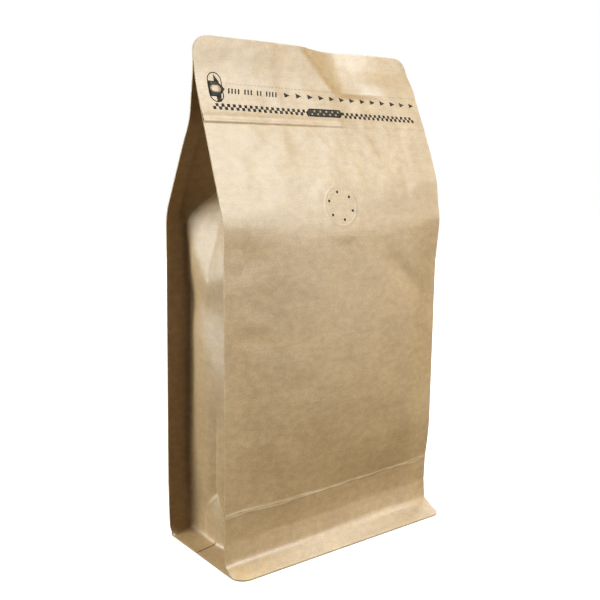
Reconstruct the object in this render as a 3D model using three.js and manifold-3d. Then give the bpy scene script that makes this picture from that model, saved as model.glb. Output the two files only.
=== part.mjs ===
// A filled flat-bottom coffee pouch of kraft paper laminate, standing shut on its base.
// The panels are heat-sealed to each other, so the whole pouch is one piece: a front and a back panel,
// two side gussets between four corner fins, a flat base with a rim, and a flat seal across the top.
// Lengths are in millimetres. +Z is up, the front panel faces -Y, and the origin is the middle of the base.
import * as THREE from "three";
import { mergeVertices } from "three/addons/utils/BufferGeometryUtils.js";
import Module from "manifold-3d";

// Outer sizes
const HALF_WIDTH = 68;
const HEIGHT = 254;
const FIN_THICKNESS = 0.8;
const TOP_CORNER_RADIUS = 8;

// Fin edges: how far the front and the back panel stand from the middle plane
const TOP_SEAL_Y = -3.2;
const TOP_SEAL_HALF = 0.75;
const FRONT_SHOULDER_Y = -27.5;
const BACK_SHOULDER_Y = 26.8;
const FRONT_BASE_Y = -25;
const FRONT_LEAN = 3.4;
const BACK_BASE_Y = 31.4;

// Side gussets: seal width of a fin, wall position and free width of half a gusset up to its centre fold
const SEAL_WIDTH = 6.5;
const WALL_X = 55.5;
const WALL_BULGE = 3.6;
const WALL_BEND = 2.6;
const HALF_GUSSET = 33.5;
const GUSSET_WALL_TOP = 167;
const GUSSET_FOLD_BOTTOM = 190;
const GUSSET_CLOSE_Z = 240;
const CENTRE_FOLD_DEPTH = 1.1;

// Base rim: the skirt turns outwards onto the table
const SKIRT_TOP = 16;
const RIM_THICKNESS = 0.8;
const RIM_HALF_X = 67.5;
const RIM_HALF_Y = 36;
const RIM_CORNER_RADIUS = 7;
const FLAP_SLIT_Y = 3.5;
const FLAP_SLIT_WIDTH = 0.5;
const FLAP_SLIT_LENGTH = 11;

// Panels: swelling over the filling, base crease and the ridges of the press-to-close strip
const FRONT_SWELL = 3.6;
const BACK_SWELL = 4.2;
const CREASE_Z = 29.5;
const CREASE_RELIEF = 0.5;
const ZIP_RIDGES_Z = [214.5, 217];
const ZIP_RIDGE_RELIEF = 0.45;

// Degassing valve under the front panel: a round raised edge and its pinholes
const VALVE_X = 0.4;
const VALVE_Z = 175.3;
const VALVE_RADIUS = 9.7;
const VALVE_EDGE = 0.75;
const PINHOLE_COUNT = 6;
const PINHOLE_CIRCLE = 7;
const PINHOLE_RADIUS = 0.45;

const clamp01 = (t) => Math.min(1, Math.max(0, t));
const mix = (a, b, t) => a + (b - a) * t;
const smooth = (a, b, value) => {
  const t = clamp01((value - a) / (b - a));
  return t * t * (3 - 2 * t);
};
const bump = (value, centre, width) => Math.exp(-(((value - centre) / width) ** 2));

// A straight ramp from 0 to 1 whose two ends are rounded over the given share of its length.
function roundedRamp(t, round) {
  const knee = (s) => (s < -round ? 0 : s > round ? s : (s + round) ** 2 / (4 * round));
  return knee(t) - knee(t - 1);
}

// Plane of the front fins: flat at the top seal, opening down to the shoulder, then nearly upright.
// Between seal and shoulder it leans out further on the right than on the left.
function frontY(x, z) {
  const open = roundedRamp((236 - z) / 67, 0.12);
  const lower = roundedRamp((162 - z) / 132, 0.1);
  return TOP_SEAL_Y - TOP_SEAL_HALF + open * (FRONT_SHOULDER_Y - TOP_SEAL_Y + TOP_SEAL_HALF)
    + lower * (FRONT_BASE_Y - FRONT_SHOULDER_Y)
    - FRONT_LEAN * (0.5 + x / (2 * HALF_WIDTH)) * smooth(170, 190, z) * (1 - smooth(224, 246, z));
}

// Plane of the back fins: it opens lower and more steeply than the front.
function backY(z) {
  const top = TOP_SEAL_Y + TOP_SEAL_HALF;
  const slow = 5.2 * roundedRamp((240 - z) / 32, 0.2);
  const open = roundedRamp((215 - z) / 44, 0.12);
  const lower = roundedRamp((165 - z) / 130, 0.1);
  return top + slow + open * (BACK_SHOULDER_Y - top - 5.2) + lower * (BACK_BASE_Y - BACK_SHOULDER_Y);
}

// Half width of the panels: the two top corners are rounded.
function halfWidth(z) {
  const above = Math.max(0, z - (HEIGHT - TOP_CORNER_RADIUS));
  return HALF_WIDTH - TOP_CORNER_RADIUS + Math.sqrt(TOP_CORNER_RADIUS ** 2 - above ** 2);
}

// Outward swelling of a panel between its fins.
function swell(x, z, most) {
  const across = Math.max(0, 1 - (x / (HALF_WIDTH - SEAL_WIDTH)) ** 2);
  const upright = smooth(12, 75, z) * (1 - smooth(150, 226, z));
  return most * across ** 1.4 * (0.12 + 0.88 * upright) * (1 - smooth(226, 240, z));
}

function frontPanel(x, z) {
  const ridges = ZIP_RIDGES_Z.reduce((sum, at) => sum + bump(z, at, 0.7), 0);
  const relief = ZIP_RIDGE_RELIEF * ridges + CREASE_RELIEF * bump(z, CREASE_Z, 1.3);
  return frontY(x, z) - FIN_THICKNESS / 2 - swell(x, z, FRONT_SWELL) - relief;
}

// The stiff valve disc behind the panel keeps the film flat around it.
const VALVE_SLOPE = (frontPanel(VALVE_X, VALVE_Z + 9) - frontPanel(VALVE_X, VALVE_Z - 9)) / 18;
const VALVE_DEPTH = frontPanel(VALVE_X, VALVE_Z);

function frontSurface(x, z) {
  const away = Math.hypot(x - VALVE_X, z - VALVE_Z);
  const flat = VALVE_DEPTH + VALVE_SLOPE * (z - VALVE_Z);
  return mix(flat, frontPanel(x, z), smooth(VALVE_RADIUS, VALVE_RADIUS + 9, away));
}

function backSurface(x, z) {
  const relief = CREASE_RELIEF * bump(z, CREASE_Z, 1.3);
  return backY(z) + FIN_THICKNESS / 2 + swell(x, z, BACK_SWELL) + relief;
}

// Stations across half a panel, closer together at the fins.
const HALF_PANEL = [1, 0.955, 0.904, 0.86, 0.82, 0.74, 0.64, 0.52, 0.39, 0.26, 0.13, 0];
const PANEL = [...HALF_PANEL.map((u) => -u), ...HALF_PANEL.slice(0, -1).reverse()];

// Half a gusset from a fin edge to the centre fold. In the lower part it leaves the fin in a tight bend and
// stands up as a wall; above the shoulder it folds inwards as one straight side of a V.
const WALL_STEPS = 7;
const SIDE_POINTS = 2 * (WALL_STEPS + 3) - 1;

function halfGusset(z, finY, middleY) {
  const side = Math.sign(finY - middleY);
  const face = finY - side * FIN_THICKNESS / 2;
  const half = Math.abs(face - middleY);
  const root = HALF_WIDTH - SEAL_WIDTH;
  const apex = root - Math.sqrt(Math.max(0, HALF_GUSSET ** 2 - half ** 2));
  const folded = smooth(GUSSET_WALL_TOP, GUSSET_FOLD_BOTTOM, z);
  const bulge = WALL_BULGE * Math.sin(Math.PI * clamp01((z - 18) / 200));
  const path = [[halfWidth(z), face], [root, face]];
  for (let step = 0; step <= WALL_STEPS; step += 1) {
    const share = step / WALL_STEPS;
    const along = clamp01((share - 0.14) / 0.86);
    const turn = smooth(0, 0.3, share);
    const fold = CENTRE_FOLD_DEPTH * smooth(0.8, 1, share);
    const wallX = mix(root - 3.2, WALL_X, turn) + bulge * Math.sin(along * Math.PI / 2) - fold;
    const wallY = mix(face, middleY, mix(WALL_BEND / half * smooth(0, 0.14, share), 1, along));
    const foldX = mix(root, apex, (share + 0.06) / 1.06);
    const foldY = mix(face, middleY, (share + 0.06) / 1.06);
    path.push([mix(wallX, foldX, folded), mix(wallY, foldY, folded)]);
  }
  return path;
}

// One level of the pouch as a closed outline, counter-clockwise seen from above, from the front left fin on.
function outlineAt(z) {
  const width = halfWidth(z);
  const front = PANEL.map((u) => [u * width, frontSurface(u * width, z)]);
  const back = PANEL.map((u) => [-u * width, backSurface(u * width, z)]);
  const gusset = (side) => {
    const finY = frontY(side * HALF_WIDTH, z);
    const middle = (finY + backY(z)) / 2;
    const path = [...halfGusset(z, finY, middle), ...halfGusset(z, backY(z), middle).slice(0, -1).reverse()];
    // Inside the top seal the gusset is pressed shut, so only the edge of the layers is left.
    const [outer, inner] = [front[0][1], back[0][1]];
    const edge = path.map((_, index) => [width, mix(outer, inner, (index + 1) / (path.length + 1))]);
    return (z > GUSSET_CLOSE_Z ? edge : path).map(([x, y]) => [side * x, y]);
  };
  return [...front, ...gusset(1), ...back, ...gusset(-1).reverse()];
}

// Outer line of the base rim, point for point with the outline above it.
function rimOutline() {
  const centreX = RIM_HALF_X - RIM_CORNER_RADIUS;
  const centreY = RIM_HALF_Y - RIM_CORNER_RADIUS;
  const panel = PANEL.map((u) => {
    const turn = clamp01((Math.abs(u) - 0.8) / 0.2) * Math.PI / 2;
    const straight = Math.min(1, Math.abs(u) / 0.8) * centreX;
    return [Math.sign(u) * (straight + RIM_CORNER_RADIUS * Math.sin(turn)),
      centreY + RIM_CORNER_RADIUS * Math.cos(turn)];
  });
  const front = panel.map(([x, y]) => [x, -y]);
  const back = panel.map(([x, y]) => [-x, y]);
  const right = [];
  for (let index = 0; index < SIDE_POINTS; index += 1) {
    right.push([RIM_HALF_X, mix(-centreY, centreY, (index + 1) / (SIDE_POINTS + 1))]);
  }
  const left = [...right].reverse().map(([x, y]) => [-x, y]);
  return [...front, ...right, ...back, ...left];
}

// Skirt levels: the front and the back flare out evenly, the gusset walls turn into a flat flange below.
function skirtLevel(drop) {
  const upper = outlineAt(SKIRT_TOP);
  const rim = rimOutline();
  const side = PANEL.length + SIDE_POINTS;
  return upper.map(([x, y], index) => {
    const ofPanel = index % side < PANEL.length;
    const out = ofPanel ? drop ** 1.7 : drop ** 1.9;
    const fall = ofPanel ? 1 - drop : (1 - drop) ** 1.9;
    const z = RIM_THICKNESS + (SKIRT_TOP - RIM_THICKNESS) * fall;
    return [mix(x, rim[index][0], out), mix(y, rim[index][1], out), z];
  });
}

// Levels from the table to the top edge.
function levels() {
  const rim = rimOutline();
  const rows = [rim.map(([x, y]) => [x, y, 0])];
  for (const drop of [1, 0.88, 0.75, 0.6, 0.45, 0.3, 0.15]) {
    rows.push(skirtLevel(drop));
  }
  const heights = [SKIRT_TOP, 20, 24, 27.5, 28.6, CREASE_Z, 30.4, 31.5, 36, 44, 54, 66, 80, 95, 110, 125, 138,
    150, 158, 164, 168, 172, 176, 180, 184, 188, 192, 198, 204, 209, 212.5, 213.6, 214.5, 215.5, 216.2, 217,
    217.8, 219, 223, 228, 232, 236, GUSSET_CLOSE_Z, 241, 244.5];
  for (let step = 1; step <= 6; step += 1) {
    heights.push(HEIGHT - TOP_CORNER_RADIUS * (1 - Math.sin(step / 6 * Math.PI / 2)));
  }
  for (const z of heights) {
    rows.push(outlineAt(z).map(([x, y]) => [x, y, z]));
  }
  return rows;
}

// Closed skin through the levels, with a flat base and a narrow top edge.
function skinGeometry() {
  const rows = levels();
  const count = rows[0].length;
  const positions = rows.flat(2);
  const faces = [];
  for (let row = 0; row + 1 < rows.length; row += 1) {
    for (let index = 0; index < count; index += 1) {
      const next = (index + 1) % count;
      const [a, b] = [row * count + index, row * count + next];
      const [c, d] = [a + count, b + count];
      faces.push(a, b, d, a, d, c);
    }
  }
  const baseCentre = positions.length / 3;
  positions.push(0, 0, 0);
  for (let index = 0; index < count; index += 1) {
    faces.push(baseCentre, (index + 1) % count, index);
  }
  // The top edge is a strip between the front and the back panel, closed by a fan at either end.
  const top = (rows.length - 1) * count;
  const span = PANEL.length;
  const side = SIDE_POINTS;
  const frontAt = (index) => top + index;
  const backAt = (index) => top + 2 * span + side - 1 - index;
  for (let index = 0; index + 1 < span; index += 1) {
    faces.push(frontAt(index), frontAt(index + 1), backAt(index + 1));
    faces.push(frontAt(index), backAt(index + 1), backAt(index));
  }
  for (let index = span - 1; index < span + side - 1; index += 1) {
    faces.push(top + index, top + index + 1, top + span + side);
  }
  for (let index = 2 * span + side; index < 2 * span + 2 * side - 1; index += 1) {
    faces.push(top + index, top + index + 1, top);
  }
  faces.push(top + 2 * span + side - 1, top + 2 * span + side, top);
  const geometry = new THREE.BufferGeometry();
  geometry.setAttribute("position", new THREE.Float32BufferAttribute(positions, 3));
  geometry.setIndex(faces);
  return geometry;
}

const wasm = await Module();
wasm.setup();

function solidOf(geometry) {
  const bare = geometry.clone();
  bare.deleteAttribute("normal");
  bare.deleteAttribute("uv");
  const merged = mergeVertices(bare, 1e-4);
  return new wasm.Manifold(new wasm.Mesh({
    numProp: 3,
    vertProperties: new Float32Array(merged.attributes.position.array),
    triVerts: new Uint32Array(merged.index.array),
  }));
}

function geometryOf(solid) {
  const mesh = solid.getMesh();
  const geometry = new THREE.BufferGeometry();
  const positions = new Float32Array(mesh.numVert * 3);
  for (let vertex = 0; vertex < mesh.numVert; vertex += 1) {
    positions.set(mesh.vertProperties.subarray(vertex * mesh.numProp, vertex * mesh.numProp + 3), vertex * 3);
  }
  geometry.setAttribute("position", new THREE.BufferAttribute(positions, 3));
  geometry.setIndex(new THREE.BufferAttribute(new Uint32Array(mesh.triVerts), 1));
  return geometry.toNonIndexed();
}

// The valve lies in the sloping panel, so its edge ring and pinholes are turned to the slope there.
function placeOnPanel(geometry, x, z) {
  const tilt = Math.atan(VALVE_SLOPE);
  return geometry
    .rotateX(-tilt)
    .translate(VALVE_X + x, VALVE_DEPTH + z * Math.sin(tilt), VALVE_Z + z * Math.cos(tilt));
}

let pouch = solidOf(skinGeometry());
const ring = new THREE.TorusGeometry(VALVE_RADIUS, VALVE_EDGE, 8, 40).rotateX(Math.PI / 2);
pouch = pouch.add(solidOf(placeOnPanel(ring, 0, 0)));
for (let hole = 0; hole < PINHOLE_COUNT; hole += 1) {
  const angle = (hole + 0.25) / PINHOLE_COUNT * 2 * Math.PI;
  const pin = new THREE.CylinderGeometry(PINHOLE_RADIUS, PINHOLE_RADIUS, 3, 8);
  const placed = placeOnPanel(pin, PINHOLE_CIRCLE * Math.cos(angle), PINHOLE_CIRCLE * Math.sin(angle));
  pouch = pouch.subtract(solidOf(placed));
}
// On either side the base flange is two flaps of film that meet in a narrow slit.
for (const side of [-1, 1]) {
  const slit = new THREE.BoxGeometry(FLAP_SLIT_LENGTH, FLAP_SLIT_WIDTH, 4)
    .translate(side * (RIM_HALF_X - 1.5 - FLAP_SLIT_LENGTH / 2), FLAP_SLIT_Y, 2 + RIM_THICKNESS / 2);
  pouch = pouch.subtract(solidOf(slit));
}

const geometry = geometryOf(pouch);
geometry.computeVertexNormals();
const kraft = new THREE.MeshStandardMaterial({ color: 0xc9ae84, roughness: 0.72, metalness: 0 });
const mesh = new THREE.Mesh(geometry, kraft);
mesh.name = "pouch";
const part = new THREE.Group();
part.name = "coffee_pouch";
part.add(mesh);

export default part;
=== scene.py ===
import math

import bmesh
import bpy
from mathutils import Matrix, Vector, noise


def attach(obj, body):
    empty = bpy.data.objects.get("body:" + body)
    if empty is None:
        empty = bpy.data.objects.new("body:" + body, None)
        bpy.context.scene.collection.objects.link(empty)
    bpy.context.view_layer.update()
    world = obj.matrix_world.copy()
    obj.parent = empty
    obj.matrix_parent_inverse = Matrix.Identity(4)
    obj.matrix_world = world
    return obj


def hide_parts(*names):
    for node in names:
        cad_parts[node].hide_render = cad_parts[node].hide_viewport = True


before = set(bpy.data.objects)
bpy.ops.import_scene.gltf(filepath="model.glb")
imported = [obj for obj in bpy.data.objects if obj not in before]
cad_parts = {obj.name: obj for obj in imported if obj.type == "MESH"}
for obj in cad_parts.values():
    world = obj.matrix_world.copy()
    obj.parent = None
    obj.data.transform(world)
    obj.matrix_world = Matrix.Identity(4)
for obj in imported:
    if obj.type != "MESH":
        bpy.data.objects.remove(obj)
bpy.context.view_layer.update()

# The setting: a pale table under soft studio light. A broad light from behind on the left leaves the inside of
# the side fold in shade, a high one lights the front, others fill in the right side and the back, and a narrow
# spot picks out the flared foot. Nothing of it is the pouch.
MM = 0.001
CAMERA_PLACE = Vector((-261.0, -340.7, 190.9)) * MM
CAMERA_TURN = math.radians(36.85)
CAMERA_TILT = math.radians(8.77)
CAMERA_LENS = 49.05
POUCH_MIDDLE = (-0.02, 0.0, 0.15)
FOOT_AIM = Vector((0.0, -0.033, 0.004))
TABLE_SIZE = 6.0

scene = bpy.context.scene
scene.view_settings.view_transform = "Standard"

camera_data = bpy.data.cameras.new("camera")
camera_data.sensor_width = 36.0
camera_data.lens = CAMERA_LENS
camera_data.clip_start = 0.01
camera = bpy.data.objects.new("camera", camera_data)
camera.location = CAMERA_PLACE
camera.rotation_euler = (math.pi / 2 - CAMERA_TILT, 0.0, -CAMERA_TURN)
scene.collection.objects.link(camera)
scene.camera = camera


def softbox(name, place, aim, size, watts, colour=(1.0, 1.0, 1.0)):
    """A square light at a place, turned to a point."""
    light = bpy.data.lights.new(name, "AREA")
    light.shape = "SQUARE"
    light.size = size
    light.energy = watts
    light.color = colour
    lamp = bpy.data.objects.new(name, light)
    lamp.location = place
    lamp.rotation_euler = (Vector(aim) - Vector(place)).to_track_quat("-Z", "Y").to_euler()
    scene.collection.objects.link(lamp)


softbox("light_left", (-0.98, 0.50, 0.50), POUCH_MIDDLE, 0.95, 19.5, (0.95, 1.0, 0.97))
softbox("light_left_high", (-0.60, 0.25, 1.25), POUCH_MIDDLE, 0.6, 3.6, (0.95, 1.0, 0.97))
softbox("light_right", (0.66, -0.86, 0.80), POUCH_MIDDLE, 0.4, 1.6, (0.96, 1.0, 0.99))
softbox("light_right_low", (0.80, -0.95, 0.25), POUCH_MIDDLE, 0.5, 2.9)
softbox("light_front", (0.20, -1.02, 0.93), POUCH_MIDDLE, 0.5, 22.0, (0.94, 1.0, 1.0))
softbox("light_front_low", (0.42, -1.10, 0.35), POUCH_MIDDLE, 0.5, 0.8)
softbox("light_back", (0.85, 1.00, 0.75), POUCH_MIDDLE, 1.0, 24.0)

light_foot = bpy.data.lights.new("light_foot", "SPOT")
light_foot.spot_size = math.radians(7.0)
light_foot.spot_blend = 1.0
light_foot.shadow_soft_size = 0.08
light_foot.energy = 72.0
light_foot.color = (0.84, 0.95, 1.0)
foot_lamp = bpy.data.objects.new("light_foot", light_foot)
foot_lamp.location = (0.99, -0.10, 1.26)
foot_lamp.rotation_euler = (FOOT_AIM - foot_lamp.location).to_track_quat("-Z", "Y").to_euler()
scene.collection.objects.link(foot_lamp)

world = bpy.data.worlds.new("studio")
world.use_nodes = True
world_tree = world.node_tree
seen = world_tree.nodes.new("ShaderNodeLightPath")
backdrop = world_tree.nodes.new("ShaderNodeBackground")
backdrop.inputs["Strength"].default_value = 1.0
backdrop.inputs["Color"].default_value = (1.0, 1.0, 1.0, 1.0)
room = world_tree.nodes["Background"]
room.inputs["Color"].default_value = (1.0, 0.85, 0.65, 1.0)
room.inputs["Strength"].default_value = 0.05
either = world_tree.nodes.new("ShaderNodeMixShader")
world_tree.links.new(seen.outputs["Is Camera Ray"], either.inputs[0])
world_tree.links.new(room.outputs[0], either.inputs[1])
world_tree.links.new(backdrop.outputs[0], either.inputs[2])
world_tree.links.new(either.outputs[0], world_tree.nodes["World Output"].inputs["Surface"])
scene.world = world

table_mesh = bpy.data.meshes.new("table")
table_bm = bmesh.new()
bmesh.ops.create_grid(table_bm, x_segments=4, y_segments=4, size=TABLE_SIZE / 2)
table_bm.to_mesh(table_mesh)
table_bm.free()
table = bpy.data.objects.new("table", table_mesh)
scene.collection.objects.link(table)
table.visible_diffuse = False
table.visible_glossy = False
# The table glows by itself, dimmer near the pouch and brighter further out: painted light on the table.
table_paint = bpy.data.materials.new("table_paint")
table_paint.use_nodes = True
paint_nodes = table_paint.node_tree.nodes
paint_links = table_paint.node_tree.links
spot = paint_nodes.new("ShaderNodeTexCoord")
away = paint_nodes.new("ShaderNodeVectorMath")
away.operation = "LENGTH"
glow = paint_nodes.new("ShaderNodeMapRange")
for socket, value in (("From Min", 0.2), ("From Max", 0.9), ("To Min", 0.55), ("To Max", 1.0)):
    glow.inputs[socket].default_value = value
paint_links.new(spot.outputs["Object"], away.inputs[0])
paint_links.new(away.outputs["Value"], glow.inputs["Value"])
paint_links.new(glow.outputs["Result"], paint_nodes["Principled BSDF"].inputs["Emission Color"])
paint_nodes["Principled BSDF"].inputs["Emission Strength"].default_value = 1.0
paint_nodes["Principled BSDF"].inputs["Base Color"].default_value = (0.6, 0.6, 0.6, 1.0)
paint_nodes["Principled BSDF"].inputs["Roughness"].default_value = 0.9
paint_nodes["Principled BSDF"].inputs["Specular IOR Level"].default_value = 0.0
table_mesh.materials.append(table_paint)

# The laminate: unbleached kraft paper on a barrier film, matt and faintly streaked along the paper's run,
# with stray dark fibres. Where it has been creased or rubbed the brown top layer has broken up and is paler.
# The same pale colour is also painted highlight at the gussets' pinched knots and along the folds that leave them.
FILM = 0.38
FILM_GAP = 0.012
FLAT_SPAN = 300.0
KRAFT_LIGHT = (0.450, 0.292, 0.125, 1.0)
KRAFT_DARK = (0.274, 0.159, 0.057, 1.0)
KRAFT_FIBRE = (0.200, 0.110, 0.045, 1.0)
KRAFT_PALE = (0.620, 0.490, 0.310, 1.0)


class Shade:
    """A shader socket. Sums with numbers or other sockets become Math nodes."""

    def __init__(self, finish, socket):
        self.finish = finish
        self.socket = socket

    def sum(self, operation, first, second):
        return self.finish.node("ShaderNodeMath", {"operation": operation}, {0: first, 1: second})

    def __add__(self, other):
        return self.sum("ADD", self, other)

    def __sub__(self, other):
        return self.sum("SUBTRACT", self, other)

    def __rsub__(self, other):
        return self.sum("SUBTRACT", other, self)

    def __mul__(self, other):
        return self.sum("MULTIPLY", self, other)

    __radd__ = __add__
    __rmul__ = __mul__

    def between(self, low, high):
        """0 below low, 1 above high, with a soft step between."""
        limits = {"Value": self, "From Min": low, "From Max": high}
        return self.finish.node("ShaderNodeMapRange", {"interpolation_type": "SMOOTHSTEP"}, limits)


class Finish:
    """A material with one shader, and its nodes made by type, settings and socket values or links."""

    def __init__(self, name):
        self.material = bpy.data.materials.new(name)
        self.material.use_nodes = True
        self.tree = self.material.node_tree
        self.shader = self.tree.nodes["Principled BSDF"]

    def fill(self, made, inputs):
        for key, value in inputs.items():
            if isinstance(value, Shade):
                self.tree.links.new(value.socket, made.inputs[key])
            else:
                made.inputs[key].default_value = value

    def node(self, kind, settings, inputs, output=0):
        made = self.tree.nodes.new(kind)
        for key, value in settings.items():
            setattr(made, key, value)
        self.fill(made, inputs)
        return Shade(self, made.outputs[output])

    def blend(self, share, first, second):
        """A colour between two colours."""
        return self.node("ShaderNodeMix", {"data_type": "RGBA"}, {0: share, 6: first, 7: second}, 2)

    def grain(self, place, scale, detail, roughness=0.55):
        """Noise on the film's own flat measure, with so many grains to the millimetre across and along."""
        spread = (scale[0] * FLAT_SPAN, scale[1] * FLAT_SPAN, 1.0)
        stretched = self.node("ShaderNodeMapping", {}, {"Vector": place, "Scale": spread})
        values = {"Vector": stretched, "Scale": 1.0, "Detail": detail, "Roughness": roughness}
        return self.node("ShaderNodeTexNoise", {"noise_dimensions": "3D"}, values)


def kraft_finish(name):
    """Kraft laminate that reads the film's flat map, its worn places and its painted highlights."""
    kraft = Finish(name)
    flat = kraft.node("ShaderNodeUVMap", {"uv_map": "film"}, {})
    wear_and_highlight = kraft.node("ShaderNodeAttribute", {"attribute_name": "wear_and_highlight"}, {}, 2)
    streaks = kraft.grain(flat, (0.03, 0.85), 4.0, 0.65)
    clouds = kraft.grain(flat, (0.04, 0.05), 3.0)
    pulp = kraft.grain(flat, (1.1, 2.0), 3.0, 0.6)
    flecks = kraft.grain(flat, (0.55, 2.6), 2.0, 0.5).between(0.66, 0.74)
    mottle = kraft.grain(flat, (0.22, 0.3), 3.0, 0.6)
    tone = 0.5 + 0.3 * (streaks - 0.5) + 0.5 * (clouds - 0.5) + 0.9 * (mottle - 0.5) + 1.5 * (pulp - 0.5)
    brown = kraft.blend(tone.between(0.0, 1.0), KRAFT_DARK, KRAFT_LIGHT)
    brown = kraft.blend(flecks * 0.35, brown, KRAFT_FIBRE)
    # the pale share: wear, and painted highlight where the gussets' knots and folds catch light
    pale_share = (wear_and_highlight * (0.45 + 1.1 * pulp)).between(0.0, 1.0)
    kraft.fill(kraft.shader, {
        "Base Color": kraft.blend(pale_share, brown, KRAFT_PALE),
        "Roughness": 0.56 + 0.12 * (clouds - 0.5) + 0.1 * (pulp - 0.5),
        "IOR": 1.8,
        "Specular IOR Level": 0.84,
        "Normal": kraft.node("ShaderNodeBump", {}, {
            "Strength": 0.35,
            "Distance": 0.05 * MM,
            "Height": 0.6 * pulp + 0.5 * streaks + 0.8 * pale_share,
        }),
    })
    return kraft.material


kraft_paper = kraft_finish("kraft_paper")


def lay_film(columns, rows, place):
    """One panel of film: a flat grid whose every crossing is laid in place.
    place(column, row) gives the point in millimetres, its painted paleness for wear and highlight, and where it
    lies on the flat film."""
    bm = bmesh.new()
    bmesh.ops.create_grid(bm, x_segments=columns - 1, y_segments=rows - 1, size=1.0)
    worn = bm.verts.layers.float.new("wear_and_highlight")
    flat = bm.loops.layers.uv.new("film")
    laid = {}
    for vert in bm.verts:
        column = round((vert.co.x + 1) / 2 * (columns - 1))
        row = round((vert.co.y + 1) / 2 * (rows - 1))
        point, wear_and_highlight, spot = place(column, row)
        vert.co = Vector(point) * MM
        vert[worn] = wear_and_highlight
        laid[vert] = (column, row, spot)
    for face in bm.faces:
        face.smooth = True
        for loop in face.loops:
            across, along = laid[loop.vert][2]
            loop[flat].uv = (across / FLAT_SPAN + 0.5, along / FLAT_SPAN)
    for edge in bm.edges:
        edge.smooth = not edge.is_boundary
    return bm, laid


def finish_film(name, bm, material):
    """Turns a laid panel into a piece of the pouch with the film's thickness on its inner side."""
    mesh = bpy.data.meshes.new(name)
    bm.to_mesh(mesh)
    bm.free()
    mesh.materials.append(material)
    piece = bpy.data.objects.new(name, mesh)
    scene.collection.objects.link(piece)
    wall = piece.modifiers.new("film", "SOLIDIFY")
    wall.thickness = FILM * MM
    wall.offset = -1.0
    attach(piece, "root")
    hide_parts("pouch")
    return piece


# The front panel: one web of laminate from the base rim to the top edge. It is flat in the top seal, leans out
# over the filling, stands nearly upright below the shoulder and flares out at the foot, where it is sealed on.
# The press-to-close strip and the valve behind it show as low ridges, the base fold as a worn double line.
HALF_WIDTH = 69.0
HEIGHT = 254.0
TOP_CORNER_RADIUS = 8.0
SEAL_Y = -3.2
FOLD_REACH = 28.0
FRONT_SHOULDER_Y = -27.9
FRONT_LEAN = 3.4
FRONT_SWELL = 5.0
SWELL_LEFT = 61.5
SWELL_RIGHT = 66.5
TOP_FOLD_Z = 229.0
SKIRT_TOP = 16.0
SKIRT_FLAT = 19.0
RIM_HALF_X = 68.4
RIM_HALF_Y = 36.0
RIM_CORNER_RADIUS = 7.0
RIM_Z = 2 * FILM + FILM_GAP
CREASE_Z = 29.6
# each ridge of the strip: height, relief
ZIP_STEPS = ((214.4, 0.8), (216.7, 0.35))
# each dent: place across and up, length, breadth, turn in degrees, depth
DENTS = ((44.0, 137.0, 19.0, 5.0, -44, 1.3), (-60.0, 151.0, 12.0, 8.0, 0, 0.8),
         (-54.0, 134.0, 9.0, 3.6, 8, 0.22), (-52.0, 122.0, 9.0, 3.4, -6, -0.2),
         (-52.0, 113.0, 10.0, 3.6, -10, 0.22), (-50.0, 62.0, 10.0, 3.6, 0, -0.25),
         (57.0, 112.0, 9.0, 5.0, -30, -0.3), (-44.0, 181.0, 9.0, 5.0, 20, 0.25),
         (-24.0, 189.0, 11.0, 4.0, 5, -0.25))
VALVE_X = -0.9
VALVE_Z = 175.3
VALVE_RADIUS = 9.7
FINE_BANDS = ((27.0, 32.0), (163.5, 187.5), (213.0, 223.5), (231.0, 233.5))


def mix(first, second, share):
    return first + (second - first) * share


def smooth(low, high, value):
    share = min(1.0, max(0.0, (value - low) / (high - low)))
    return share * share * (3.0 - 2.0 * share)


def bell(away, width):
    return math.exp(-(away / width) ** 2)


def knee(value, rounding):
    """0 below zero and the value itself above, with the bend rounded."""
    if value < -rounding:
        return 0.0
    return value if value > rounding else (value + rounding) ** 2 / (4 * rounding)


def rounded_ramp(share, start, end):
    """A straight ramp from 0 to 1 with both ends rounded."""
    return knee(share, start) - knee(share - 1, end)


def half_width(z):
    above = max(0.0, z - (HEIGHT - TOP_CORNER_RADIUS))
    return HALF_WIDTH - TOP_CORNER_RADIUS + math.sqrt(max(0.0, TOP_CORNER_RADIUS ** 2 - above ** 2))


def film_levels():
    """Height and share of the skirt for every row of film, from the rim to the top edge."""
    levels = [(SKIRT_TOP, 1 - step / 18) for step in range(18)]
    z = SKIRT_TOP
    while z < HEIGHT - TOP_CORNER_RADIUS:
        levels.append((z, 0.0))
        z += 0.5 if any(low <= z < high for low, high in FINE_BANDS) else 1.2
    for step in range(1, 11):
        rise = TOP_CORNER_RADIUS * math.sin(step / 10 * math.pi / 2)
        levels.append((HEIGHT - TOP_CORNER_RADIUS + rise, 0.0))
    return levels


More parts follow.
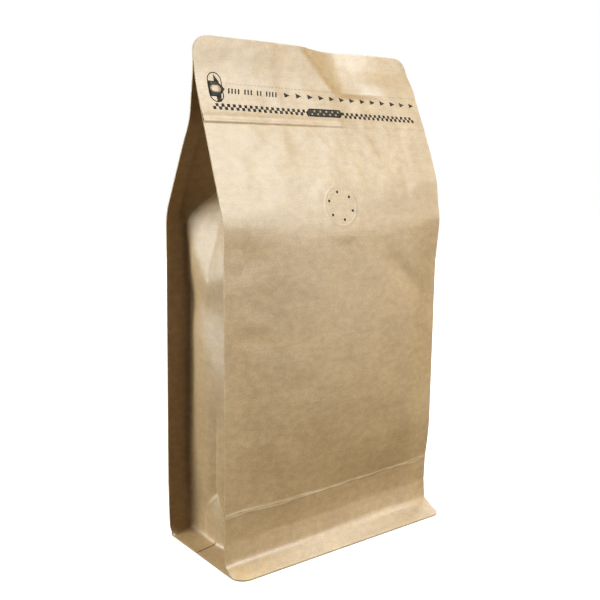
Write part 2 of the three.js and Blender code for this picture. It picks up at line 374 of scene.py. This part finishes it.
def buckle(x, z):
    """How far the soft top edge stands back or forward: it bends back just above the tear line, is pushed back in
    one pointed fold right of the middle, steep on its left side, and is a little crumpled all over."""
    rise = max(0.0, z - TOP_FOLD_Z)
    crest = 14.9 - 0.6 * rise
    left, right = 0.8 + 0.45 * rise, 9.5 + 0.65 * rise
    slope = 0.62 * smooth(0, 3, rise)
    fold = slope * left / 2 * max(0.0, 1 - max(0.0, crest - x) / left) ** 2
    fold += slope * right / 2.5 * (1 - (1 - min(1.0, max(0.0, x - crest) / right)) ** 2.5)
    fold *= 1 - (1 - 0.55 * smooth(3, 18, rise)) * smooth(20, 50, x)
    lean = 0.9 * knee((z - 240) / 14, 0.3)
    wave = 0.5 * bell(x - 36.0, 7.0) * smooth(230, 240, z) + 0.5 * bell(x + 36.0, 12.0) * smooth(234, 248, z)
    crumple = 0.4 * noise.noise(Vector((x / 15 + z / 30, z / 11, 7.0)))
    crumple += 0.13 * noise.noise(Vector((x / 6, z / 5, 3.0)))
    return lean + fold - wave + crumple * smooth(224, 240, z)


def stack(x):
    """Half the thickness of the top seal: the folded gussets add a layer on either side."""
    return FILM + FILM_GAP + (FILM + FILM_GAP) * smooth(FOLD_REACH - 8, FOLD_REACH - 1, abs(x))


def base_fold(x, z):
    """How far the panel is drawn in along the base fold, which is deeper towards the right, and below it."""
    depth = (0.4 + 3.2 * smooth(-30, 38, x)) * (1 - 0.38 * smooth(44, 57, abs(x)))
    if z > CREASE_Z:
        return depth * max(0.0, 1 - (z - CREASE_Z) / 24) ** 1.6
    return depth + 0.6 * (CREASE_Z - z) / (CREASE_Z - SKIRT_TOP)


def front_plane(x, z):
    """The front panel without swelling or small folds: it opens from the seal, leans out and stands upright."""
    middle = max(0.0, 1 - (x / SWELL_LEFT) ** 2)
    opened = rounded_ramp((237 - z) / 68, 0.11, 0.07 + 0.11 * middle)
    lower = rounded_ramp((162 - z) / 132, 0.1, 0.1)
    turned = 2.2 * smooth(45, 69, x) * (1 - smooth(140, 172, z))
    lean = FRONT_LEAN * (0.5 + x / (2 * HALF_WIDTH)) * smooth(170, 190, z) * (1 - smooth(196, 252, z))
    return mix(SEAL_Y - stack(x), FRONT_SHOULDER_Y, opened) + 2.5 * lower - lean + turned + base_fold(x, z)


def swell(x, z, most):
    """Outward swelling of a panel over the filling, between its fins."""
    if x > 0:
        across = max(0.0, 1 - (x / SWELL_RIGHT) ** 2)
    else:
        across = max(0.0, 1 - (x / SWELL_LEFT) ** 2) ** 1.4
    upright = smooth(12, 80, z) * (1 - smooth(85, 215, z))
    return most * across * (0.12 + 0.88 * upright) * (1 - smooth(190, 242, z))


def ripple(x, z, seed):
    """Slight unevenness of the film over the loose filling."""
    broad = 0.5 * noise.noise(Vector((x / 40, z / 48, seed + 31)))
    near = 0.18 * noise.noise(Vector((x / 13, z / 13, seed + 5)))
    near += 0.05 * noise.noise(Vector((x / 5, z / 5, seed + 9)))
    near *= 1 + 1.8 * smooth(168, 188, z)
    free = (1 - smooth(50, 61, abs(x))) * (1 - smooth(228, 240, z)) * smooth(16, 32, z)
    return (broad + near) * free


def crease_lines(x):
    """Heights of the two strands of the base fold, which part and meet again along the panel."""
    drift = 0.5 * noise.noise(Vector((x / 16, 3.1, 0.0))) + 0.25 * noise.noise(Vector((x / 5, 8.7, 0.0)))
    part = 0.9 * smooth(-10, -35, x) + 0.9 * smooth(42, 60, x)
    gap = part * (0.75 + 0.5 * noise.noise(Vector((x / 9, 1.7, 4.0))))
    return CREASE_Z + drift - gap, CREASE_Z + drift + gap


def smooth_front(x, z):
    """The front panel with its swelling, before ridges, dents and creases."""
    return front_plane(x, z) - swell(x, z, FRONT_SWELL) - ripple(x, z, 2.0)


VALVE_SLOPE = (smooth_front(VALVE_X, VALVE_Z + 9) - smooth_front(VALVE_X, VALVE_Z - 9)) / 18
VALVE_DEPTH = smooth_front(VALVE_X, VALVE_Z)


def front_film(x, z):
    """Outer face of the front panel."""
    y = smooth_front(x, z)
    away = math.hypot(x - VALVE_X, z - VALVE_Z)
    if away < 2.2 * VALVE_RADIUS:
        flat = VALVE_DEPTH + VALVE_SLOPE * (z - VALVE_Z)
        y = mix(flat, y, smooth(VALVE_RADIUS, 2.0 * VALVE_RADIUS, away))
        ridges = 0.2 * bell(away - VALVE_RADIUS, 0.5) + 0.08 * bell(away - 8.0, 0.45)
        y -= ridges + 0.06 * (1 - smooth(8.4, 9.6, away))
    for step_z, relief in ZIP_STEPS:
        fading = relief * (1 - 0.65 * smooth(-20, 45, x))
        y -= fading * smooth(step_z - 0.6, step_z + 0.6, z) * (1 - smooth(step_z, step_z + 5, z))
    for dent_x, dent_z, along, across, turn, depth in DENTS:
        run, rise = x - dent_x, z - dent_z
        cosine, sine = math.cos(math.radians(turn)), math.sin(math.radians(turn))
        y += depth * bell(run * cosine + rise * sine, along) * bell(rise * cosine - run * sine, across)
    for line in crease_lines(x):
        y -= 0.17 * bell(z - line, 0.55)
    return y + buckle(x, z)


def rim_point(share):
    """Point of the base rim below a place of the front panel, given as its share of the half width."""
    reach = RIM_HALF_X - RIM_CORNER_RADIUS
    turn = min(1.0, max(0.0, (abs(share) - 0.8) / 0.2)) * math.pi / 2
    x = min(1.0, abs(share) / 0.8) * reach + RIM_CORNER_RADIUS * math.sin(turn)
    return math.copysign(x, share), RIM_HALF_Y - RIM_CORNER_RADIUS + RIM_CORNER_RADIUS * math.cos(turn)


FOOT_MIDDLE = (0.12, 0.30, 0.20)
FOOT_CORNER = (0.10, 0.26, 0.18)
levels = film_levels()


def flare_out(point, rim, drop, foot):
    """A place of the skirt, which comes down to a bend and then runs out to the rim on the base film.
    foot gives the bend's share of the way out, its share of the height, and its rounding."""
    beyond = knee((drop - 0.5) / 0.5, foot[2])
    before = (drop - 0.5 * beyond) / 0.5
    out = foot[0] * before + (1 - foot[0]) * beyond
    height = 1 - (1 - foot[1]) * before - foot[1] * beyond
    return mix(point[0], rim[0], out), mix(point[1], rim[1], out), RIM_Z + (SKIRT_TOP - RIM_Z) * height


def panel_foot(x):
    """The foot's bend, which is a little higher and softer in the middle of a panel than at its fins."""
    outer = smooth(18, 62, abs(x))
    return [mix(middle, corner, outer) for middle, corner in zip(FOOT_MIDDLE, FOOT_CORNER)]


fine = [step * 0.5 for step in range(27)]
coarse = [13.0 + (HALF_WIDTH - 13.0) * step / 47 for step in range(1, 48)]
half_stations = [x / HALF_WIDTH for x in fine + coarse]
front_stations = [-share for share in reversed(half_stations[1:])] + half_stations


def edge_wear(x, z, drop):
    """Rubbed places along the cut edges of a panel."""
    side = smooth(half_width(z) - 0.9, half_width(z), abs(x))
    return max(0.2 * side, 0.3 * smooth(253.0, 254.0, z), 0.3 * smooth(0.93, 1.0, drop))


def place_front(column, row):
    z, drop = levels[row]
    share = front_stations[column]
    x = share * half_width(z)
    point = (x, front_film(x, z), z)
    wear_and_highlight = edge_wear(x, z, drop)
    if drop:
        rim_x, rim_y = rim_point(share)
        return flare_out(point, (rim_x, -rim_y), drop, panel_foot(x)), wear_and_highlight, (x, SKIRT_TOP - SKIRT_FLAT * drop)
    for line in crease_lines(x):
        wear_and_highlight = max(wear_and_highlight, (0.55 + 0.3 * noise.noise(Vector((x / 6, line, 2.0)))) * bell(z - line, 0.42))
    return point, wear_and_highlight, (x, z)


front_bm, _ = lay_film(len(front_stations), len(levels), place_front)
front_panel = finish_film("front_panel", front_bm, kraft_paper)

# The back panel: the same laminate without print or valve. It stays shut further down than the front and then
# opens more steeply, swells over the filling, and is sealed to the base in the same flared foot.
BACK_SHOULDER_Y = 27.2
BACK_BASE_Y = 31.8
BACK_SWELL = 4.6
BACK_DRAPE = (204.0, 233.0)
BACK_CREASE_SHIFT = 170.0


def back_plane(x, z):
    """The back panel without swelling or small folds."""
    slow = 5.2 * rounded_ramp((240 - z) / 32, 0.2, 0.2)
    opened = rounded_ramp((215 - z) / 44, 0.12, 0.12 + 0.2 * max(0.0, 1 - (x / SWELL_LEFT) ** 2))
    lower = rounded_ramp((165 - z) / 130, 0.1, 0.1)
    shut = SEAL_Y + stack(x)
    return shut + slow + opened * (BACK_SHOULDER_Y - shut - 5.2) + lower * (BACK_BASE_Y - BACK_SHOULDER_Y)


def back_film(x, z):
    """Outer face of the back panel. Its loose film leads gently into the fold of the top edge."""
    y = back_plane(x, z) + swell(x, z, BACK_SWELL) + ripple(x, z, 11.0)
    for line in crease_lines(x + BACK_CREASE_SHIFT):
        y += 0.22 * bell(z - line, 0.7)
    drape = buckle(x, max(z, BACK_DRAPE[1])) * smooth(*BACK_DRAPE, z)
    return y + mix(drape, buckle(x, z), smooth(44, 56, abs(x)))


back_stations = [1 - 2 * step / 86 for step in range(87)]


def place_back(column, row):
    z, drop = levels[row]
    share = back_stations[column]
    x = share * half_width(z)
    point = (x, back_film(x, z), z)
    wear_and_highlight = edge_wear(x, z, drop)
    if drop:
        return flare_out(point, rim_point(share), drop, panel_foot(x)), wear_and_highlight, (-x, SKIRT_TOP - SKIRT_FLAT * drop)
    for line in crease_lines(x + BACK_CREASE_SHIFT):
        wear_and_highlight = max(wear_and_highlight, 0.5 * bell(z - line, 0.6))
    return point, wear_and_highlight, (-x, z)


back_bm, _ = lay_film(len(back_stations), len(levels), place_back)
back_panel = finish_film("back_panel", back_bm, kraft_paper)

# The side gussets: a web on either side, sealed to the front and the back panel along the corner fins. Low down
# it stands as a wall between the fins, pinched where its centre fold gives way, and above the shoulder it folds
# inwards as a V. At the foot it turns out into a flange of two flaps that meet in a slit.
HALF_FLAT = 40.0
FIN_SEAL = 6.5
FIN_BENDS = (3.5, 4.0)
WALL_X = 56.2
WALL_BULGE = 6.0
GABLE_FOOT = 166.0
GABLE_TIP = 202.0
GABLE_HALF = 26.0
FLAP_SLIT_Y = 3.5
FLAP_SLIT = 0.8
GUSSET_FOOT = (0.02, 0.09, 0.10)
GUSSET_SKIRT_FLAT = 22.0
GUSSET_COLUMNS = 113
LEFT_FOLDS = {"pinch": 140.0, "dent": 114.0, "foot": 28.5}
RIGHT_FOLDS = {"pinch": 131.0, "dent": 99.0, "foot": 31.0}


def foot_line(off, foot):
    """Height of the two folds that run down from the foot knot to the front and the back."""
    return foot - (0.87 * min(off, 11.0) + 3.0 * max(0.0, off - 11.0) if off > 0 else -1.25 * off)


def centre_line(z, foot):
    """How far behind the middle the centre fold lies: it leans to the front on its way up from the foot knot."""
    return -0.135 * max(0.0, z - foot)


def wall_relief(y, z, middle, folds):
    """How far the gusset wall stands out or is pushed in by its folds."""
    off = y - middle
    pinch, foot = folds["pinch"], folds["foot"]
    valley = max(0.0, 1 - abs(off - centre_line(z, foot)) / 8.0) ** 1.5
    relief = -1.1 * valley * (1 - smooth(60, 88, z)) * smooth(foot - 8, foot + 1, z)
    relief -= 0.19 * knee(z - pinch - (1.08 * off if off > 0 else -0.1 * off), 4.0)
    top = pinch + 0.55 * max(0.0, -off)
    low = folds["dent"] + 0.65 * min(off, 10.0)
    fall = (top - z) / max(top - low, 8.0)
    relief -= 1.2 * smooth(0, 26, off) * bell(z - 98, 34.0)
    relief -= 2.5 * smooth(-0.1, 0.65, fall) * (1 - smooth(0.55, 1.5, fall)) * (1 - 0.5 * smooth(-9, 12, off))
    return relief + 0.08 * max(0.0, foot_line(off, foot) - z) + 0.12 * noise.noise(Vector((y / 9, z / 11, pinch)))


def gusset_point(side, share, z, folds):
    """Outer face of a gusset. share runs from -1 at the front fin's edge over 0 at the centre fold to 1 behind."""
    width = half_width(z)
    front_face = front_plane(side * HALF_WIDTH, z) + 2 * FILM + FILM_GAP
    back_face = back_plane(HALF_WIDTH, z) - 2 * FILM - FILM_GAP
    middle = (front_face + back_face) / 2
    depth = (back_face - front_face) / 2
    inward = 1.0 if share < 0 else -1.0
    face = front_face if share < 0 else back_face
    bend = FIN_BENDS[0] if share < 0 else FIN_BENDS[1]
    run = (1 - abs(share)) * HALF_FLAT
    straight = HALF_WIDTH - bend - WALL_X
    rest = HALF_FLAT - straight - bend * math.pi / 2
    turn = min(max(0.0, run - straight) / bend, math.pi / 2)
    along = max(0.0, run - straight - bend * math.pi / 2) / rest * max(0.0, depth - bend)
    wall_x = HALF_WIDTH - min(run, straight) - bend * math.sin(turn)
    wall_y = face + inward * (bend * (1 - math.cos(turn)) + along)
    free = smooth(0.0, math.pi / 2, turn)
    bulge = WALL_BULGE * math.sin(math.pi * min(1.0, max(0.0, (z - 18) / 200)))
    bulge *= max(0.0, 1 - abs((wall_y - middle) / max(depth, 1.0)) ** mix(2.0, 4.0, smooth(135, 160, z)))
    wall_x += free * (bulge + wall_relief(wall_y, z, middle, folds))
    root = min(HALF_WIDTH - FIN_SEAL, width - 0.5)
    facet = GABLE_HALF * min(1.0, max(0.0, (GABLE_TIP - z) / (GABLE_TIP - GABLE_FOOT)))
    facet = max(0.01, min(facet, depth - 0.5))
    flank = HALF_FLAT - FIN_SEAL - facet
    inset = math.sqrt(max(0.0, flank ** 2 - (depth - facet) ** 2))
    if run < FIN_SEAL:
        fold_x, fold_y = mix(width, root, run / FIN_SEAL), face
    else:
        gone = min(1.0, (run - FIN_SEAL) / flank)
        over = max(0.0, run - FIN_SEAL - flank)
        shallow = inset * mix(0.45, 1.0, smooth(GABLE_FOOT, GABLE_FOOT + 24, z))
        fold_x = root - mix(shallow * gone, inset, min(1.0, over / facet))
        fold_y = face + inward * ((depth - facet) * gone + over)
    folded = smooth(GABLE_FOOT - 15, GABLE_FOOT + 8, z)
    x = mix(min(wall_x, width), fold_x, folded)
    return side * x, mix(wall_y, fold_y, folded) + buckle(side * x, z), z


def gusset_wear_and_highlight(y, z, share, middle, folds):
    """Pale lines of a gusset: worn fin edges and centre fold; painted highlight on the pinched places and, with
    wear, on the folds that leave them.
    """
    off = y - middle
    foot = folds["foot"]
    edge = 0.2 * smooth(0.98, 1.0, abs(share))
    fold = 0.35 * bell(off - centre_line(z, foot), 1.0) * (1 - smooth(62, 84, z)) * smooth(foot - 1, foot + 1, z)
    # painted highlight: a pale spot where the pinched film catches light
    pinch = 0.6 * bell(math.hypot(off, z - folds["pinch"]), 1.5)
    # wear with painted highlight: pale lines along the ridges of the folds from the foot knot
    knot = 0.8 * bell(z - foot_line(off, foot), 1.1) * bell(off - 1.5, 8.0) * smooth(12, 20, z)
    dent = 0.12 * bell(z - folds["dent"] - 0.65 * off, 1.0) * (1 - smooth(-5, 0, off))
    pale_share = 0.3 * bell(off + 1.0, 7.0) * bell(z - foot + 8.0, 6.0)
    return max(edge, fold, pinch, knot, dent, pale_share)


def gusset_rim(side, share):
    """Point of the base rim below a place of the gusset. The centre fold comes down to the slit."""
    inner = 1 - abs(share)
    eased = 0.12 * inner / 0.3 if inner < 0.3 else 0.12 + 0.88 * (inner - 0.3) / 0.7
    corner = math.copysign(RIM_HALF_Y - RIM_CORNER_RADIUS, share)
    return side * RIM_HALF_X, mix(corner, FLAP_SLIT_Y, eased)


def gusset_piece(name, side, folds):
    """One gusset, with the slit between its two foot flaps cut and opened."""
    def share_of(column):
        run = -1 + 2 * column / (GUSSET_COLUMNS - 1)
        return run * side

    def place(column, row):
        z, drop = levels[row]
        share = share_of(column)
        point = gusset_point(side, share, z, folds)
        middle = (front_plane(side * HALF_WIDTH, z) + back_plane(HALF_WIDTH, z)) / 2
        wear_and_highlight = gusset_wear_and_highlight(point[1], z, share, middle, folds)
        spot = (side * share * HALF_FLAT, z if not drop else SKIRT_TOP - GUSSET_SKIRT_FLAT * drop)
        if not drop:
            return point, wear_and_highlight, spot
        inner = smooth(0.08, 0.28, 1 - abs(share))
        shape = [mix(panel, gusset, inner) for panel, gusset in zip(FOOT_CORNER, GUSSET_FOOT)]
        bent = 0.2 * bell(drop - 0.5, 0.05) * smooth(0.3, 0.5, 1 - abs(share))
        rim_edge = 0.3 * smooth(0.93, 1.0, drop)
        slit_edge = 0.35 * bell(share, 0.015) * smooth(0.4, 0.5, drop)
        wear_and_highlight = max(rim_edge, bent, slit_edge, wear_and_highlight * (1 - drop))
        return flare_out(point, gusset_rim(side, share), drop, shape), wear_and_highlight, spot

    bm, laid = lay_film(GUSSET_COLUMNS, len(levels), place)
    centre = (GUSSET_COLUMNS - 1) // 2
    slit_rows = [row for row, (_, drop) in enumerate(levels) if drop > 0.4]
    slit = [vert for vert, (column, row, _) in laid.items() if column == centre and row in slit_rows]
    known = set(slit)
    cut = [edge for edge in bm.edges if edge.verts[0] in known and edge.verts[1] in known]
    opened = bmesh.ops.split_edges(bm, edges=cut)["edges"]
    for vert in {vert for edge in opened for vert in edge.verts}:
        if len(vert.link_faces) > 2:
            continue
        heading = sum(face.calc_center_median().y for face in vert.link_faces) / len(vert.link_faces)
        vert.co.y += math.copysign(FLAP_SLIT / 2 * MM, heading - vert.co.y)
    for edge in bm.edges:
        edge.smooth = not edge.is_boundary
    return finish_film(name, bm, kraft_paper)


gusset_left = gusset_piece("gusset_left", -1, LEFT_FOLDS)
gusset_right = gusset_piece("gusset_right", 1, RIGHT_FOLDS)

# The base: a rectangle of laminate with rounded corners, sealed to the foot of the four panels around its rim
# and lifted a little off the table inside it.
BASE_BEND = 3.0
BASE_LIFT = 0.4

base_bm = bmesh.new()
base_wear = base_bm.verts.layers.float.new("wear_and_highlight")
base_flat = base_bm.loops.layers.uv.new("film")
bmesh.ops.create_circle(base_bm, cap_ends=True, segments=36, radius=RIM_CORNER_RADIUS * MM)
bmesh.ops.rotate(base_bm, verts=base_bm.verts[:], matrix=Matrix.Rotation(math.radians(5), 3, "Z"))
for vert in base_bm.verts:
    vert.co.x += math.copysign(RIM_HALF_X - RIM_CORNER_RADIUS, vert.co.x) * MM
    vert.co.y += math.copysign(RIM_HALF_Y - RIM_CORNER_RADIUS, vert.co.y) * MM
base_bm.normal_update()
if base_bm.faces[:][0].normal.z > 0:
    bmesh.ops.reverse_faces(base_bm, faces=base_bm.faces[:])
middle_face = base_bm.faces[:]
bmesh.ops.inset_individual(base_bm, faces=middle_face, thickness=(RIM_CORNER_RADIUS - 1) * MM)
bmesh.ops.inset_individual(base_bm, faces=middle_face, thickness=BASE_BEND * MM, depth=-BASE_LIFT * MM)
for face in base_bm.faces:
    face.smooth = True
    for loop in face.loops:
        spot = loop.vert.co / MM
        loop[base_flat].uv = (spot.x / FLAT_SPAN + 0.5, spot.y / FLAT_SPAN + 0.5)
for edge in base_bm.edges:
    edge.smooth = not edge.is_boundary
for vert in base_bm.verts:
    vert[base_wear] = 0.35 if vert.is_boundary else 0.0
base_panel = finish_film("base_panel", base_bm, kraft_paper)

# The print: one dark ink on the front panel, above and along the press-to-close strip. A chequered band marks the
# strip, with a label that shows its teeth, and arrowheads point along the tear line from the tab at its start.
# The short brown dashes along the tear line are painted shade in its cuts.
INK = (0.016, 0.014, 0.013, 1.0)
CUT_SHADE = (0.30, 0.21, 0.11, 1.0)
INK_LIFT = 0.07
INK_COAT = 0.05


def ink_finish(name, colour, cover):
    """Ink on the paper, thin enough for the grain of the paper to break it up; the same finish gives the painted
    shade of the tear line's cuts and the pinholes.
    """
    ink = Finish(name)
    place = ink.node("ShaderNodeTexCoord", {}, {}, 3)
    fine_grain = ink.node("ShaderNodeTexNoise", {}, {"Vector": place, "Scale": 2200.0, "Detail": 2.0})
    broad_grain = ink.node("ShaderNodeTexNoise", {}, {"Vector": place, "Scale": 420.0, "Detail": 2.0})
    bare = (0.6 * fine_grain + 0.4 * broad_grain).between(cover, cover + 0.16)
    ink.fill(ink.shader, {
        "Base Color": ink.blend(bare * 0.7, colour, KRAFT_DARK),
        "Roughness": 0.6 + 0.2 * (fine_grain - 0.5),
        "Specular IOR Level": 0.25,
        "Normal": ink.node("ShaderNodeBump", {}, {"Strength": 0.3, "Distance": 0.02 * MM, "Height": fine_grain}),
    })
    return ink.material


black_ink = ink_finish("black_ink", INK, 0.56)


def print_piece(name, shapes, material, lift=INK_LIFT, holes=0.0):
    """Flat shapes given by their corners across and up the panel, cut fine enough to lie on it, and laid there."""
    bm = bmesh.new()
    for corners in shapes:
        bm.faces.new([bm.verts.new((x, z, 0.0)) for x, z in corners])
    bm.normal_update()
    if holes:
        inner = bm.faces[:]
        bmesh.ops.inset_region(bm, faces=inner, thickness=holes, use_boundary=True, use_even_offset=True)
        bmesh.ops.delete(bm, geom=inner, context="FACES")
    for axis, step in ((0, 2.0), (1, 1.0)):
        low = min(vert.co[axis] for vert in bm.verts)
        high = max(vert.co[axis] for vert in bm.verts)
        cut = Vector((1.0, 0.0, 0.0)) if axis == 0 else Vector((0.0, 1.0, 0.0))
        for number in range(1, math.ceil((high - low) / step)):
            geom = bm.verts[:] + bm.edges[:] + bm.faces[:]
            bmesh.ops.bisect_plane(bm, geom=geom, dist=1e-5, plane_co=cut * (low + number * step), plane_no=cut)
    for vert in bm.verts:
        x, z = vert.co.x, vert.co.y
        vert.co = Vector((x, front_film(x, z) - lift, z)) * MM
    bm.normal_update()
    flat = bm.loops.layers.uv.new("film")
    for face in bm.faces:
        face.smooth = True
        if face.normal.y > 0:
            face.normal_flip()
        for loop in face.loops:
            loop[flat].uv = (loop.vert.co.x / MM / FLAT_SPAN + 0.5, loop.vert.co.z / MM / FLAT_SPAN)
    piece = finish_film(name, bm, material)
    piece.modifiers["film"].thickness = INK_COAT * MM
    return piece


def row_height(x, left, right):
    """Height of a printed line that runs from one height at the left edge to another at the right."""
    return mix(left, right, (x + HALF_WIDTH) / (2 * HALF_WIDTH))


CHEQUER = 1.545
LABEL = (-8.0, 12.4)
# each printed line: its height at the left edge and at the right
ZIP_LINE = (221.8, 219.7)
ARROW_LINE = (229.8, 227.7)
HATCH_LINE = (229.4, 227.9)
TEAR_LINE = (232.9, 231.6)
chequers = []
for number in range(81):
    x = -62.6 + number * CHEQUER
    if LABEL[0] - 2.2 < x < LABEL[1] + 0.6:
        continue
    z = row_height(x, *ZIP_LINE) + (0.72 if number % 2 else -0.72)
    chequers.append([(x, z - 0.72), (x + CHEQUER, z - 0.72), (x + CHEQUER, z + 0.72), (x, z + 0.72)])
zip_chequer_print = print_piece("zip_chequer_print", chequers, black_ink)

label_z = row_height(2.2, *ZIP_LINE) + 0.4
label = [(LABEL[0] - 0.9, label_z - 2.0), (LABEL[1] - 0.9, label_z - 2.0), (LABEL[1] + 0.9, label_z),
         (LABEL[1] - 0.1, label_z + 2.0), (LABEL[0] + 0.7, label_z + 2.0), (LABEL[0] - 1.6, label_z)]
zip_label_print = print_piece("zip_label_print", [label], black_ink)
teeth = []
for number in range(10):
    x = LABEL[0] + 1.3 + number * 1.85
    up = 0.75 if number % 2 else -0.75
    teeth.append([(x, label_z + up - 0.45), (x + 1.15, label_z + up - 0.45),
                  (x + 1.15, label_z + up + 0.45), (x, label_z + up + 0.45)])
zip_label_teeth = print_piece("zip_label_teeth", teeth, kraft_paper, lift=INK_LIFT + 0.04)

arrowheads = []
for number in range(13):
    x = -20.4 + number * 6.91
    z = row_height(x, *ARROW_LINE)
    arrowheads.append([(x, z - 1.2), (x + 3.2, z), (x, z + 1.2)])
tear_arrow_print = print_piece("tear_arrow_print", arrowheads, black_ink)

hatches = []
for number in (0, 1, 2, 3, 5, 6, 7, 9, 10, 12, 13, 14, 15):
    x = -53.0 + number * 1.78
    z = row_height(x, *HATCH_LINE)
    hatches.append([(x, z - 1.2), (x + 0.75, z - 1.2), (x + 1.3, z + 1.2), (x + 0.55, z + 1.2)])
tear_hatch_print = print_piece("tear_hatch_print", hatches, black_ink)

# Painted shade: short brown dashes where the cuts of the tear line lie in shade.
dashes = []
for number in range(60):
    x = -53.5 + number * 2.02
    z = row_height(x, *TEAR_LINE)
    dashes.append([(x, z - 0.1), (x + 0.9, z - 0.1), (x + 0.9, z + 0.1), (x, z + 0.1)])
tear_cut_shade = print_piece("tear_cut_shade", dashes, ink_finish("cut_shade", CUT_SHADE, 0.5))


def capsule(x, z, half, radius, upright):
    """Corners of a slot with round ends about a middle, upright or lying."""
    turns = [math.pi * step / 10 for step in range(11)]
    first = [(radius * math.cos(turn), half - radius + radius * math.sin(turn)) for turn in turns]
    ring = first + [(-across, -up) for across, up in first]
    if upright:
        return [(x + across, z + up) for across, up in ring]
    return [(x - up, z + across) for across, up in ring]


TAB_X, TAB_Z = -59.4, 230.6
tear_tab_ring = print_piece("tear_tab_ring", [capsule(TAB_X, TAB_Z, 7.0, 3.9, True)], black_ink, holes=0.45)
tab_block = [(-63.0, 226.3), (-57.0, 226.3), (-57.0, 227.2), (-54.4, 229.9),
             (-57.0, 232.6), (-57.0, 233.4), (-63.0, 233.4)]
tab_spurs = [[(-59.6, 233.4), (-57.2, 233.4), (-59.6, 236.6)],
             [(-59.6, 226.3), (-59.6, 223.9), (-57.2, 223.9), (-57.2, 226.3)]]
tear_tab_arrow = print_piece("tear_tab_arrow", [tab_block] + tab_spurs, black_ink, lift=INK_LIFT + 0.02)
tab_window = capsule(-59.5, 229.9, 2.9, 1.7, False)
tear_tab_window = print_piece("tear_tab_window", [tab_window], kraft_paper, lift=INK_LIFT + 0.06)

# The valve's pinholes: six holes pricked through the front panel over the one-way valve behind it, in a ring,
# so that gas from the coffee can leave. They are drawn as round dark discs of painted shade laid on the film.
PINHOLE_RING = 7.1
PINHOLE_RADIUS = 0.70
PINHOLE_SHADE = (0.006, 0.004, 0.002, 1.0)
pinhole_bm = bmesh.new()
for number in range(6):
    turn = math.radians(38.8 + 60 * number)
    x = VALVE_X + 1.07 * PINHOLE_RING * math.cos(turn)
    z = VALVE_Z + 0.965 * PINHOLE_RING * math.sin(turn)
    made = bmesh.ops.create_circle(pinhole_bm, cap_ends=True, segments=14, radius=PINHOLE_RADIUS)["verts"]
    for vert in made:
        hole_x, hole_z = x + vert.co.x, z + vert.co.y
        vert.co = Vector((hole_x, front_film(hole_x, hole_z) - 0.05, hole_z)) * MM
pinhole_bm.normal_update()
for face in pinhole_bm.faces:
    if face.normal.y > 0:
        face.normal_flip()
hole_shade = ink_finish("hole_shade", PINHOLE_SHADE, 0.75)
valve_pinhole_shade = finish_film("valve_pinhole_shade", pinhole_bm, hole_shade)
valve_pinhole_shade.modifiers["film"].thickness = 0.04 * MM
